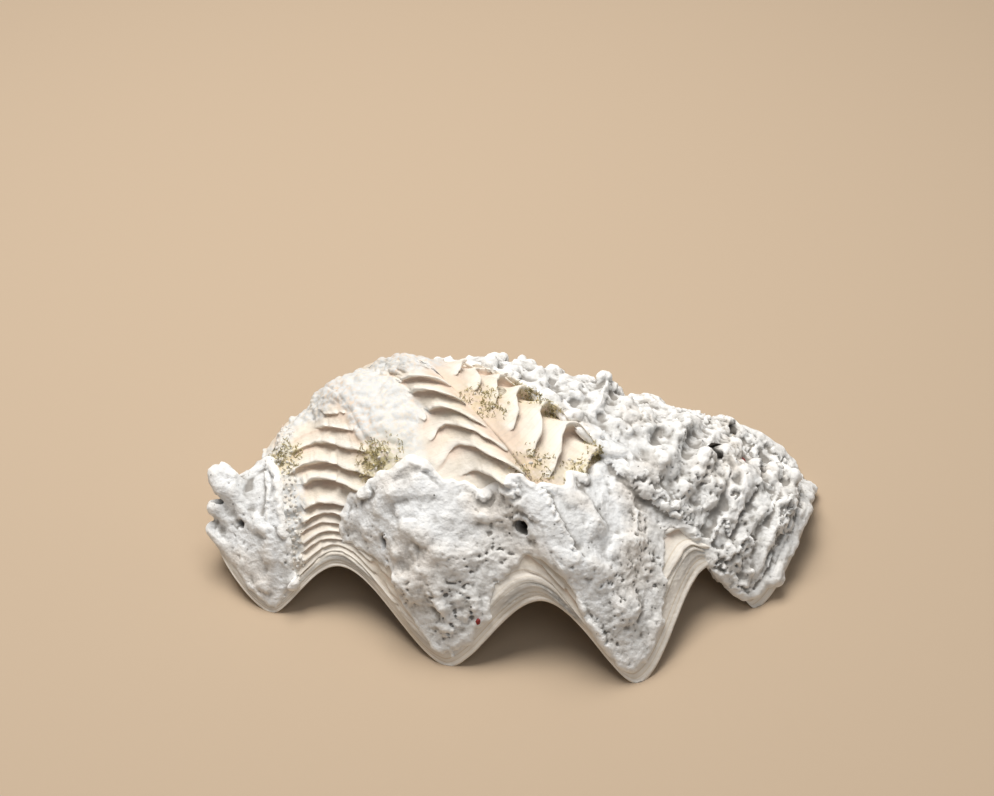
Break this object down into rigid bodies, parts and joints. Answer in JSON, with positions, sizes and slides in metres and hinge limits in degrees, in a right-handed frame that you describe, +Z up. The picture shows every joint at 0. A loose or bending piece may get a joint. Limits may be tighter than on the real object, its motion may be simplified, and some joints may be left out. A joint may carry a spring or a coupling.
{
  "type": "giant clam shell valve",
  "caption": "Single weathered giant clam valve lying open side down: wavy arched margin, radial ribs with vaulted scales, chalky coralline crust.",
  "frame": {"origin": "on the resting plane, under the middle of the valve's bounding box", "axes": "+X along the valve's length from the hinge end to the far end, -Y towards the wavy front margin, +Z up out of the convex back"},
  "size_m": [0.2163, 0.1236, 0.0592],
  "materials": {
    "shell": "matt chalky shell, grey-white crust over cream ribs"
  },
  "bodies": {
    "root": {"shell": "shell"}
  },
  "joints": []
}
